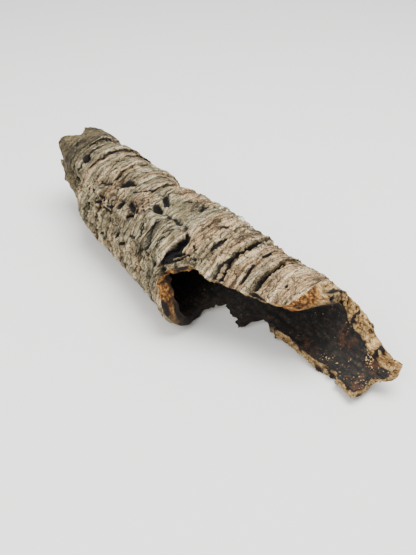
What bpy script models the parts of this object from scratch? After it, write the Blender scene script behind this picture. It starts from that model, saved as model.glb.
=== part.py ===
"""Weathered cork bark: one hollow branch tube, closed at one end half and torn open along the other.

The wall is drawn in two surface coordinates: s, the distance along the tube in millimetres,
and phi, the angle round it in degrees (0 on top, 90 at the back, 180 underneath, -90 in front).
Every ring ridge, crack, plate, pit and torn edge is a displacement of that wall or a bend in its border.
"""
import bpy
import bmesh
import numpy as np

MM = 0.001

# Where the drawing's zero lies in the part's frame (origin: middle of the base), in mm.
START_X = -269.4
START_Y = 6.3

# Cross-sections, an ellipse each: s, centre y, centre z, long half-axis, short half-axis (mm).
SECTIONS = (
    (0, 10, 48, 27, 26),
    (20, 9, 50, 35, 33),
    (40, 9, 49, 39, 38),
    (60, 8, 48, 43, 41),
    (100, 5, 46.5, 48.5, 45),
    (140, 0, 48.5, 51, 46),
    (180, -4, 49.5, 52.5, 47),
    (220, -9, 50, 52, 46),
    (260, -12, 51.5, 55, 46),
    (300, -14, 52.5, 58, 47),
    (330, -17.5, 53, 60, 46),
    (352, -10, 50, 56.5, 44),
    (375, 8.5, 44.5, 46.5, 42.5),
    (402, 17.5, 41.5, 42, 41),
    (442, 18.5, 40.5, 41, 40),
    (482, 18, 39.5, 40, 39),
    (520, 18.5, 38, 38.5, 38),
)
LEAN_DEG = 47.0
WALL = 12.5
THINNEST_WALL = 3.0

# Far rim: phi and the s where the tube ends there.
FAR_RIM = (
    (-115, 50), (-98, 51), (-84, 43), (-72, 38), (-60, 53), (-50, 49), (-40, 38), (-32, 33),
    (-20, 39), (-10, 49), (-3, 54), (5, 52), (14, 41), (24, 30), (36, 26), (52, 30), (70, 27),
    (92, 38), (112, 34), (130, 46), (152, 42), (170, 56), (190, 58), (208, 50), (228, 56), (245, 50),
)
FAR_BLEND_END = 110
# Near rim: the ragged tip of the gutter.
NEAR_RIM = (
    (90, 506), (102, 513), (112, 515), (122, 513), (136, 509), (148, 502), (158, 500), (168, 502), (198, 501),
)
NEAR_BLEND_START = 455
# The two borders of the wall. Each row: the row station it belongs to, s, phi.
# Up to SEAM_END they are one seam under the tube, after it the wall is torn open between them.
SEAM_END = 305
UPPER_EDGE = (
    (20, 20, -115), (220, 220, -115), (SEAM_END, 334, -115),
    (309, 329, -98), (313, 322, -85), (317, 321, -74), (326, 334, -60), (336, 343, -49),
    (346, 352, -51), (357, 361, -58), (370, 371, -60), (391, 392, -60), (399, 412, -55),
    (404, 423, -49), (408, 430, -42), (413, 433, -28), (417, 434, -14), (421, 433, 0),
    (425, 431, 15), (430, 432, 32), (437, 438, 48), (447, 447, 60), (458, 458, 67),
    (468, 468, 71), (474, 475, 76), (478, 477, 91), (485, 485, 100), (494, 494, 106), (510, 507, 107),
)
LOWER_EDGE = (
    (20, 20, 245), (220, 220, 245), (SEAM_END, 334, 245),
    (309, 339, 230), (313, 335, 213), (318, 328, 198), (323, 325, 181), (328, 329, 167),
    (336, 338, 158), (347, 349, 168), (357, 358, 176), (364, 366, 189), (368, 369, 174),
    (373, 373, 165), (380, 379, 169), (387, 387, 180), (398, 398, 188), (417, 417, 190), (438, 438, 192),
    (463, 463, 185), (476, 476, 185), (485, 485, 196), (510, 508, 200),
)
# How much further the inner face runs at the upper border, where the break is slanted: row station, s, phi.
SLANT = (
    (400, 0, 0), (408, 3, 0), (413, 7, 0), (417, 12, 0), (421, 17, 2), (425, 20, 4), (430, 16, 8),
    (437, 8, 12), (447, 2, 20), (456, 0, 27), (470, 0, 28), (482, 0, 20), (500, 0, 18), (510, 0, 14),
)
JAG = 1.7

# Mesh rows: a pair at each of the strongest plate edges, and others at most ROW_STEP apart between them.
KEY_EDGES = (128, 151, 178, 205, 236, 262, 277, 291, 330, 347, 363, 380, 394)
ROW_START, ROW_END = 20, 510
ROW_STEP = 5.8
BREAK_STEP = 2.7
BREAKS = ((SEAM_END, 336), (402, 437))
COLUMNS = 38
EDGE_BAND = 0.2
BREAK_BAND = 0.05
SEAM_RUN_IN = 75

# Ring ridges: s of the exposed edge, phi from, phi to, rise of the plate before it, length of the plate.
RIDGES = (
    (88, -15, 40, 3.0, 16), (104, -60, 10, 3.2, 18), (128, -40, 50, 3.5, 24), (151, -95, -10, 3.0, 18),
    (151, 5, 70, 3.2, 20), (178, -30, 30, 4.2, 26), (178, -120, -45, 3.5, 26), (205, 10, 80, 3.0, 26),
    (205, -110, -55, 3.2, 22), (236, -12, 30, 4.2, 26), (262, -80, -32, 2.6, 14), (277, -86, -26, 2.6, 13),
    (291, -84, -24, 2.6, 12), (304, -80, -22, 2.4, 11), (330, -24, 42, 2.6, 12), (347, -34, 40, 2.6, 15),
    (363, -66, 38, 4.0, 16), (380, -66, 42, 2.2, 13), (394, -64, 40, 3.6, 14),
    (120, 80, 170, 3.2, 20), (146, 95, 200, 3.4, 22), (172, 75, 165, 3.0, 22), (198, 100, 215, 3.6, 24),
    (226, 80, 180, 3.2, 24), (252, 70, 200, 3.4, 24), (280, 60, 150, 3.0, 22), (306, 90, 205, 3.4, 24),
    (322, 62, 120, 3.2, 16), (345, 66, 150, 3.4, 20), (372, 70, 165, 3.2, 24), (398, 70, 150, 3.2, 22),
    (424, 80, 170, 3.0, 22), (450, 95, 175, 3.0, 22), (474, 112, 180, 2.6, 20),
)
RING_WAVE = 3.2
MEAN_RIDGE = 1.6

# Cracks across the tube: s, phi from, phi to, half-width, depth.
CRACKS = (
    (364.5, -66, 12, 2.2, 4.5), (395.5, -54, 8, 2.0, 4.5), (349.5, -24, 4, 1.8, 2.5), (341, 4, 20, 1.8, 2.0),
    (180, -26, -12, 3.5, 2.5), (238.5, 2, 40, 2.0, 4.0),
)
# Grooves at a slant: s and phi at one end, s and phi at the other, half-width, depth.
GROOVES = (
    (149, -49, 184, -30, 2.8, 2.4), (193, -25, 205, -12, 4.0, 5.5), (188, -64, 206, -61, 2.6, 2.5),
    (223, -35, 235, -38, 4.0, 5.5), (262, -20, 312, -15, 3.4, 2.2), (95, -52, 97, -65, 3.6, 5.0),
    (252, 2, 263, -5, 3.6, 5.5), (299, 14, 294, 28, 2.6, 4.0), (230, -53, 240, -44, 2.2, 3.5),
    (291, -75, 298, -62, 2.6, 4.0), (318, -66, 323, -77, 3.0, 4.0), (324, -52, 331, -41, 2.4, 3.5),
    (88, 30, 106, 44, 3.0, 3.5), (446, 12, 452, 40, 3.0, 3.0),
    (206, 120, 236, 128, 3.4, 4.5), (286, 152, 312, 146, 3.2, 4.5), (132, 140, 160, 150, 3.2, 4.5),
    (380, 118, 404, 126, 3.2, 4.0), (244, -112, 272, -104, 3.0, 4.0), (160, -104, 186, -96, 3.0, 4.0),
)
# Round pits and insect holes: s, phi, radius, depth.
PITS = (
    (108, -29, 4.8, 7.0), (118, -22, 3.0, 3.0), (160, -76, 4.0, 4.0), (173, -58, 4.0, 4.0),
    (213, -45, 5.0, 6.5), (262, -18, 5.6, 6.0), (110, -86, 5.0, 4.0), (415, -23, 3.0, 1.8),
    (225, -81, 4.6, 4.0), (152, -1, 4.0, 3.5), (242, -86, 4.0, 3.5), (166, 104, 5.5, 5.0),
    (238, 158, 6.0, 5.5), (330, 108, 5.5, 5.0), (410, 104, 5.0, 4.0), (120, 172, 5.0, 4.5),
)
# Broad lumps and hollows: s, phi, half-length, half-width round (both mm), height.
LUMPS = (
    (56, 30, 26, 24, 7.5), (36, -40, 14, 16, 3.0), (286, 8, 24, 22, -4.5), (262, 34, 26, 18, 4.0),
    (200, 40, 18, 16, 2.5), (218, 52, 12, 18, 1.0), (232, -28, 14, 14, 2.5), (170, -50, 30, 20, 2.0),
    (322, -80, 14, 30, 3.0), (300, 100, 40, 30, 2.5), (150, 120, 40, 30, 2.0), (384, 40, 14, 12, -2.0),
    (330, 42, 22, 14, 2.5), (230, 58, 12, 26, -4.0), (424, 44, 16, 16, 2.5), (300, 44, 18, 14, 2.5),
)
# The large plate over the hollow mouth: where it starts, the middle of its free edge, its half-width.
PLATE_START = 244
PLATE_EDGE = 318
PLATE_PHI = -44
PLATE_HALF_DEG = 29
PLATE_RISE = 7.0
MOUTH_DEPTH = 8.0
MOUTH_END = 333

# The outer layer is missing from the underside of the far end.
STUB_END = 117
STUB_DEPTH = 10.5
STUB_PHI = (-182, -58)

# Three low places that carry the part: s, phi, half-size, drop.
FEET = ((128, 160, 17, 7.0), (316, -158, 17, 6.5), (455, 168, 17, 5.0))
BELLY_LIFT = 1.6

# The wall is thicker at the far side of the opening: s, phi, half-length, half-width round (mm), how much.
THICKENING = (326, -88, 30, 34, 3.0)

BARK_COLOUR = (0.33, 0.27, 0.19, 1.0)
BARK_ROUGHNESS = 0.92


def hermite(x, table, column):
    """Smooth curve through the rows of a table, first column against the given one."""
    rows = np.array(table, float)
    xs, ys = rows[:, 0], rows[:, column]
    x = np.clip(x, xs[0], xs[-1])
    i = np.clip(np.searchsorted(xs, x) - 1, 0, len(xs) - 2)
    h = xs[i + 1] - xs[i]
    t = (x - xs[i]) / h
    slope = np.gradient(ys, xs)
    start = (2 * t**3 - 3 * t**2 + 1) * ys[i] + (t**3 - 2 * t**2 + t) * h * slope[i]
    return start + (3 * t**2 - 2 * t**3) * ys[i + 1] + (t**3 - t**2) * h * slope[i + 1]


def straight(x, table, column):
    """Straight runs through the rows of a table, first column against the given one."""
    rows = np.array(table, float)
    return np.interp(x, rows[:, 0], rows[:, column])


def smooth(t):
    t = np.clip(t, 0, 1)
    return t * t * (3 - 2 * t)


def angle_from(phi, centre):
    """Signed angle from centre to phi, in the range -180 to 180."""
    return (phi - centre + 180) % 360 - 180


def span(phi, start, end, fade=9.0):
    """1 between two angles, fading to 0 outside them."""
    half = (end - start) / 2
    return smooth((half - np.abs(angle_from(phi, (start + end) / 2))) / fade + 0.5)


def noise(points, seed):
    """Gradient noise of 3-D points, about -1 to 1."""
    rng = np.random.default_rng(seed)
    order = rng.permutation(256)
    slopes = rng.normal(size=(256, 3))
    slopes /= np.linalg.norm(slopes, axis=1)[:, None]
    cell = np.floor(points).astype(int)
    part = points - cell
    fade = part**3 * (part * (part * 6 - 15) + 10)
    total = np.zeros(points.shape[:-1])
    for corner in np.ndindex(2, 2, 2):
        key = (cell + corner) & 255
        index = order[(order[(order[key[..., 0]] + key[..., 1]) & 255] + key[..., 2]) & 255]
        weight = np.where(np.array(corner) == 1, fade, 1 - fade).prod(-1)
        total += weight * (slopes[index] * (part - corner)).sum(-1)
    return total * 1.6


def section(s, phi):
    """Radius of the smooth tube and its centre, at s and phi."""
    long_axis, short_axis = hermite(s, SECTIONS, 3), hermite(s, SECTIONS, 4)
    turn = np.radians(phi - LEAN_DEG)
    radius = 1 / np.sqrt((np.cos(turn) / long_axis)**2 + (np.sin(turn) / short_axis)**2)
    return radius, hermite(s, SECTIONS, 1), hermite(s, SECTIONS, 2)


def place(s, phi, outward):
    """Points of the tube, displaced outward, in mm from the part's origin."""
    radius, y, z = section(s, phi)
    reach = radius + outward
    angle = np.radians(phi)
    return np.stack([s + START_X, y + START_Y + reach * np.sin(angle), z + reach * np.cos(angle)], -1)


def across(s, phi, s0, phi0):
    """Distances along and round the tube from a spot, in mm."""
    radius = section(s, phi)[0]
    return s - s0, np.radians(angle_from(phi, phi0)) * radius


def ring_wave(s, phi):
    """How far the rings wander along the tube."""
    base = place(s, phi, 0.0)
    return RING_WAVE * noise(base / 38.0, 3) + 1.2 * noise(base / 13.0, 4)


def ridges(s, phi):
    """Overlapping plates: each rises slowly towards the near end, then drops at its edge."""
    ring = s - ring_wave(s, phi)
    rise = np.zeros_like(ring)
    for edge, start, end, height, length in RIDGES:
        behind = edge - ring
        plate = np.clip(1 - behind / length, 0, 1)**1.5 * smooth(behind / 1.6 + 0.5)
        rise += height * plate * span(phi, start, end, 16)
    return rise


def cracks(s, phi):
    ring = s - ring_wave(s, phi)
    cut = np.zeros_like(ring)
    for middle, start, end, half, depth in CRACKS:
        cut -= depth * np.exp(-((ring - middle) / half)**2) * span(phi, start, end)
    for s0, phi0, s1, phi1, half, depth in GROOVES:
        along, around = across(s, phi, s0, phi0)
        run = np.array([s1 - s0, np.radians(phi1 - phi0) * section((s0 + s1) / 2, phi0)[0]])
        share = np.clip((along * run[0] + around * run[1]) / (run @ run), 0, 1)
        gap = np.hypot(along - share * run[0], around - share * run[1])
        cut -= depth * np.exp(-(gap / half)**2)
    for s0, phi0, radius, depth in PITS:
        along, around = across(s, phi, s0, phi0)
        cut -= depth * np.exp(-(np.hypot(along, around) / radius)**4)
    return cut


def lumps(s, phi):
    rise = np.zeros_like(s)
    for s0, phi0, length, width, height in LUMPS:
        along, around = across(s, phi, s0, phi0)
        rise += height * np.exp(-(along / length)**2 - (around / width)**2)
    return rise


def plate(s, phi):
    """The large plate, lifted at its free edge over a deep mouth."""
    ring = s - ring_wave(s, phi)
    offset = angle_from(phi, PLATE_PHI) / PLATE_HALF_DEG
    edge = PLATE_EDGE - 9 * np.clip(-offset, 0, 1)**2
    side = smooth((1 - np.abs(offset)) * np.where(offset > 0, 1.6, 3))
    lift = PLATE_RISE * smooth((ring - PLATE_START) / (PLATE_EDGE - PLATE_START))
    mouth_side = smooth((0.62 - np.abs(offset - 0.3)) * 3)
    mouth = MOUTH_DEPTH * smooth((MOUTH_END - ring) / 14)
    over = smooth((edge - ring) / 2 + 0.5)
    return lift * side * over - mouth * mouth_side * (1 - over)


def stub(s, phi):
    low = span(phi, STUB_PHI[0], STUB_PHI[1], 26)
    return -STUB_DEPTH * low * smooth((STUB_END - s + ring_wave(s, phi)) / 11 + 0.5)


def feet(s, phi):
    drop = -BELLY_LIFT * smooth(1.6 - np.abs(angle_from(phi, 180)) / 34)
    for s0, phi0, size, depth in FEET:
        along, around = across(s, phi, s0, phi0)
        drop += depth * np.exp(-(np.hypot(along, around) / size)**4)
    return drop


def relief(s, phi):
    """Displacement of the outer face in mm."""
    base = place(s, phi, 0.0)
    stretched = base / np.array([11.0, 17.0, 17.0])
    rough = 1.9 * noise(base / 26.0, 11) + 1.3 * noise(stretched, 12) + 0.7 * noise(base / 7.0, 13)
    calm = 1 - 0.6 * span(phi, -60, 40, 20) * smooth((s - 318) / 20)
    shapes = (ridges, cracks, lumps, plate, stub, feet)
    return sum(shape(s, phi) for shape in shapes) + rough * calm - MEAN_RIDGE


def hollow(s, phi):
    """Displacement of the inner face in mm: a wall's depth in, with lengthwise streaks."""
    base = place(s, phi, 0.0)
    wall = WALL + 1.8 * noise(base / 34.0, 21) + 0.8 * noise(base / np.array([30.0, 9.0, 9.0]), 22)
    s0, phi0, length, width, thicker = THICKENING
    along, around = across(s, phi, s0, phi0)
    wall += thicker * np.exp(-(along / length)**4 - (around / width)**4)
    smooth_face = lumps(s, phi) + stub(s, phi) * 0.5
    return np.minimum(smooth_face - wall, relief(s, phi) - THINNEST_WALL)


def row_stations():
    """Stations of the mesh rows, with the number of the row where the seam opens; both counts are even."""
    pairs = {edge + side for edge in KEY_EDGES for side in (-0.9, 1.3)}
    fixed = sorted({ROW_START, SEAM_END, ROW_END} | pairs)
    rows = [float(ROW_START)]
    for start, end in zip(fixed, fixed[1:]):
        broken = any(first < (start + end) / 2 < last for first, last in BREAKS)
        count = int(np.ceil((end - start) / (BREAK_STEP if broken else ROW_STEP)))
        if end in (SEAM_END, ROW_END) and (len(rows) - 1 + count) % 2:
            count += 1
        rows += np.linspace(start, end, count + 1)[1:].tolist()
    return np.array(rows), rows.index(SEAM_END)


def torn(station, border, seed):
    """s and phi of a border, made ragged where the wall is torn open."""
    spot = np.stack([station / 9.0, 0 * station, 0 * station], -1)
    ragged = JAG * smooth((station - SEAM_END) / 12) * smooth((ROW_END - station) / 12)
    s = straight(station, border, 1) + ragged * noise(spot, seed)
    return s, straight(station, border, 2) + 1.6 * ragged * noise(spot + 40, seed)


def leaving(v, breaking):
    """How far a row has left its border: soon where the tube is broken across, else slowly."""
    return breaking * (1 - np.exp(-(v / BREAK_BAND)**2)) + (1 - breaking) * smooth(v / EDGE_BAND)


def held_back(v):
    """What a row's turn round the tube loses near a border where the tube is broken across."""
    return BREAK_BAND * (1 - np.exp(-v / BREAK_BAND)) * (1 - v)**2


def wall_grid(stations, columns, slanted):
    """s and phi of a face of the wall, rows along the tube and columns round it."""
    station = stations[:, None]
    v = np.linspace(0, 1, columns + 1)[None, :]
    s_from, phi_from = torn(station, UPPER_EDGE, 41)
    s_to, phi_to = torn(station, LOWER_EDGE, 42)
    if slanted:
        s_from = s_from + straight(station, SLANT, 1)
        phi_from = phi_from + straight(station, SLANT, 2)
    first = smooth((station - BREAKS[0][0]) / SEAM_RUN_IN + 1) * smooth((BREAKS[0][1] - station) / 8 + 1)
    second = smooth((station - BREAKS[1][0]) / 8 + 1) * smooth((BREAKS[1][1] - station) / 8 + 1)
    turn = v - (first + second) * held_back(v) + first * held_back(1 - v)
    phi = phi_from + (phi_to - phi_from) * turn
    inside = leaving(v, first + second) * leaving(1 - v, first)
    ring = station + ring_wave(station + 0 * v, phi) * smooth((station - 60) / 60)
    s = (1 - inside) * (s_from + (s_to - s_from) * v) + inside * ring
    far = hermite(phi, FAR_RIM, 1)
    start = (s - ROW_START) / (FAR_BLEND_END - ROW_START)
    s = np.where(s < FAR_BLEND_END, far + start * (FAR_BLEND_END - far), s)
    near = hermite(phi, NEAR_RIM, 1)
    end = (s - NEAR_BLEND_START) / (ROW_END - NEAR_BLEND_START)
    s = np.where(s > NEAR_BLEND_START, NEAR_BLEND_START + end * (near - NEAR_BLEND_START), s)
    return s, phi


def fill_faces(index):
    """Quads of a grid of vertex numbers."""
    a, b, c, d = index[:-1, :-1], index[1:, :-1], index[1:, 1:], index[:-1, 1:]
    return np.stack([a, b, c, d], -1).reshape(-1, 4).tolist()


def number_grid(shape, open_row, first):
    """Vertex numbers of a grid whose last column is its first one up to open_row."""
    rows, columns = shape
    index = np.zeros(shape, int)
    count = first
    for row in range(rows):
        for column in range(columns):
            if column == columns - 1 and row <= open_row:
                index[row, column] = index[row, 0]
            else:
                index[row, column] = count
                count += 1
    return index, count


def border(index, open_row):
    """Vertex numbers round the torn opening: out along one border, over the tip and back."""
    last = index.shape[0] - 1
    out = [index[row, 0] for row in range(open_row, last)]
    tip = list(index[last, :])
    back = [index[row, -1] for row in range(last - 1, open_row, -1)]
    return out + tip + back


def rim_faces(outer, middle, inner):
    """The broken edge: quads from the outer ring to the middle one, fans to the coarser inner ring."""
    faces = []
    count, coarse = len(outer), len(inner)
    for i in range(count):
        j = (i + 1) % count
        faces.append((outer[i], outer[j], middle[j], middle[i]))
    for i in range(coarse):
        a, b, c = middle[2 * i], middle[2 * i + 1], middle[(2 * i + 2) % count]
        d, e = inner[i], inner[(i + 1) % coarse]
        faces += [(a, b, d), (b, e, d), (b, c, e)]
    return faces


def build_bark():
    stations, open_row = row_stations()
    s, phi = wall_grid(stations, COLUMNS, False)
    outer_index, count = number_grid(s.shape, open_row, 0)
    inner_s, inner_phi = wall_grid(stations[::2], COLUMNS // 2, True)
    inner_index, count = number_grid(inner_s.shape, open_row // 2, count)
    outer_points = place(s, phi, relief(s, phi))
    inner_points = place(inner_s, inner_phi, hollow(inner_s, inner_phi))
    points = np.zeros((count, 3))
    points[outer_index] = outer_points
    points[inner_index] = inner_points

    rings = (
        (list(outer_index[0, :-1]), list(inner_index[0, :-1])),
        (border(outer_index, open_row), border(inner_index, open_row // 2)),
    )
    faces = fill_faces(outer_index) + [face[::-1] for face in fill_faces(inner_index)]
    for outer, inner in rings:
        inner_fine = np.repeat(points[inner], 2, axis=0)
        inner_fine[1::2] = (inner_fine[1::2] + np.roll(inner_fine, -2, axis=0)[1::2]) / 2
        halfway = (points[outer] + inner_fine) / 2
        crumbs = [1.5 * noise(halfway / 6.0, seed) for seed in (31, 32, 33)]
        middle = list(range(count, count + len(outer)))
        count += len(outer)
        points = np.concatenate([points, halfway + np.stack(crumbs, -1)])
        faces += rim_faces(outer, middle, inner)
    points[:, 2] = np.maximum(points[:, 2], 0.0)

    mesh = bpy.data.meshes.new("bark")
    mesh.from_pydata((points * MM).tolist(), [], [tuple(int(v) for v in face) for face in faces])
    form = bmesh.new()
    form.from_mesh(mesh)
    bmesh.ops.triangulate(form, faces=form.faces)
    bmesh.ops.recalc_face_normals(form, faces=form.faces)
    form.to_mesh(mesh)
    form.free()
    return mesh


def bark_material():
    material = bpy.data.materials.new("weathered_cork")
    material.use_nodes = True
    shader = material.node_tree.nodes["Principled BSDF"]
    shader.inputs["Base Color"].default_value = BARK_COLOUR
    shader.inputs["Roughness"].default_value = BARK_ROUGHNESS
    shader.inputs["Metallic"].default_value = 0.0
    return material


def main():
    for obj in list(bpy.data.objects):
        bpy.data.objects.remove(obj, do_unlink=True)
    mesh = build_bark()
    mesh.materials.append(bark_material())
    bark = bpy.data.objects.new("bark", mesh)
    bpy.context.collection.objects.link(bark)


main()
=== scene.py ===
import bpy
import bmesh
import numpy as np
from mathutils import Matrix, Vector


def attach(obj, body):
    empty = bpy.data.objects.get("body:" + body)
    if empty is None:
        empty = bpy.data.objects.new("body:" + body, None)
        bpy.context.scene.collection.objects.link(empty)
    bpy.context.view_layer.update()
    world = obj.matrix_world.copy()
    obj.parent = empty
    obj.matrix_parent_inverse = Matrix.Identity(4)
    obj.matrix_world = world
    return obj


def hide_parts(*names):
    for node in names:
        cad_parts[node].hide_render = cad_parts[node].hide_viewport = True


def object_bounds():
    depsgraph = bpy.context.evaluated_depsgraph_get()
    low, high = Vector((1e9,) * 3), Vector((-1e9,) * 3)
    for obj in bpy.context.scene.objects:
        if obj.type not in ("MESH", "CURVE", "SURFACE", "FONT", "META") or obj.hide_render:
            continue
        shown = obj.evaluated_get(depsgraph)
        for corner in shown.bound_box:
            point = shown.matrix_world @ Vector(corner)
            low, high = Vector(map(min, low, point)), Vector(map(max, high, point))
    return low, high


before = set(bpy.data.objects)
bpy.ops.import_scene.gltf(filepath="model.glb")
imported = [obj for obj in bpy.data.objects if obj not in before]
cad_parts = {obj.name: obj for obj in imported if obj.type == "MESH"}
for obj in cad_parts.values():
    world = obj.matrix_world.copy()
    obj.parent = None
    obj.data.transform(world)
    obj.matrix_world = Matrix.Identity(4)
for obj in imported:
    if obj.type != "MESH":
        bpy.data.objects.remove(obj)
cadBox = [list(map(float, corner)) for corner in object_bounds()]
print("cork bark: frame loaded")

mm = 0.001

# the tube in two surface coordinates: s along it in mm, phi round it in degrees
# (0 on top, 90 at the back, 180 underneath, -90 in front), the same form as the solid
tubeForm = {
    "startX": -269.4, "startY": 6.3, "lean": 47.0, "wall": 12.5, "thinnestWall": 2.2,
    # s, centre y, centre z, long half-axis, short half-axis
    "sections": (
        (0, 10, 48, 27, 26), (20, 9, 50, 35, 33), (40, 9, 49, 39, 38), (60, 8, 48, 43, 41),
        (100, 5, 46.5, 48.5, 45), (140, 0, 48.5, 51, 46), (180, -4, 49.5, 52.5, 47), (220, -9, 50, 52, 46),
        (260, -12, 51.5, 55, 46), (300, -14, 52.5, 58, 47), (330, -17.5, 53, 60, 46),
        (352, -10, 50, 56.5, 44),
        (375, 8.5, 44.5, 46.5, 42.5), (402, 17.5, 41.5, 42, 41), (442, 18.5, 40.5, 41, 40),
        (482, 18, 39.5, 40, 39), (520, 18.5, 38, 38.5, 38),
    ),
    "ringWave": 3.2, "meanRidge": 1.6,
    # phi and the s where the tube ends, at the far rim and at the ragged near tip
    "farRim": (
        (-115, 50), (-98, 51), (-84, 43), (-72, 38), (-60, 53), (-50, 49), (-40, 38), (-32, 33),
        (-20, 39), (-10, 49), (-3, 54), (5, 52), (14, 41), (24, 30), (36, 26), (52, 30), (70, 27),
        (92, 38), (112, 34), (130, 46), (152, 42), (170, 56), (190, 58), (208, 50), (228, 56), (245, 50),
    ),
    "nearRim": (
        (90, 506), (102, 513), (112, 515), (122, 513), (136, 509), (148, 502), (158, 500), (168, 502),
        (198, 501),
    ),
    "farBlend": 110, "nearBlend": 455,
    # the borders of the wall: row station, s, phi; one seam under the tube up to seamEnd, torn apart after it
    "seamEnd": 305,
    "upperEdge": (
        (20, 20, -115), (220, 220, -115), (305, 334, -115),
        (309, 329, -98), (313, 322, -85), (317, 321, -74), (326, 334, -60), (336, 343, -49),
        (346, 352, -51), (357, 361, -58), (370, 371, -60), (391, 392, -60), (399, 412, -55),
        (404, 423, -49), (408, 430, -42), (413, 433, -28), (417, 434, -14), (421, 433, 0),
        (425, 431, 15), (430, 432, 32), (437, 438, 48), (447, 447, 60), (458, 458, 67),
        (468, 468, 71), (474, 475, 76), (478, 477, 91), (485, 485, 100), (494, 494, 106), (510, 507, 107),
    ),
    "lowerEdge": (
        (20, 20, 245), (220, 220, 245), (305, 334, 245),
        (309, 339, 230), (313, 335, 213), (318, 328, 198), (323, 325, 181), (328, 329, 167),
        (336, 338, 158), (347, 349, 168), (357, 358, 176), (364, 366, 189), (368, 369, 174),
        (373, 373, 165), (380, 379, 169), (387, 387, 180), (398, 398, 188), (417, 417, 190), (438, 438, 192),
        (463, 463, 185), (476, 476, 185), (485, 485, 196), (510, 508, 200),
    ),
    # how much further the inner face runs at the upper border, where the break is slanted
    "slant": (
        (400, 0, 0), (408, 3, 0), (413, 7, 0), (417, 12, 0), (421, 17, 2), (425, 20, 4), (430, 16, 8),
        (437, 8, 12), (447, 2, 20), (456, 0, 27), (470, 0, 28), (482, 0, 20), (500, 0, 18), (510, 0, 14),
    ),
    "jag": 1.7,
}

# rows and columns of the fine surface; seven rows stand close together at each of the strongest plate edges
gridPlan = {
    "keyEdges": (128, 151, 178, 205, 236, 262, 277, 291, 330, 347, 363, 380, 394),
    "edgeRows": (-1.6, -0.9, -0.45, 0.0, 0.45, 1.0, 1.7),
    "rowStart": 20, "rowEnd": 510, "rowStep": 1.4, "breakStep": 1.0, "breaks": ((305, 336), (402, 437)),
    "columns": 160, "edgeBand": 0.2, "breakBand": 0.05, "seamRunIn": 75,
    "stillColumns": 6,   # columns next to a torn border over which the overhang of the plates fades
    "sunkMm": 0.5,       # the whole outer face is drawn this much in
    "sharpDeg": 55,      # faces that meet at more than this are shaded with a sharp edge
}

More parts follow.
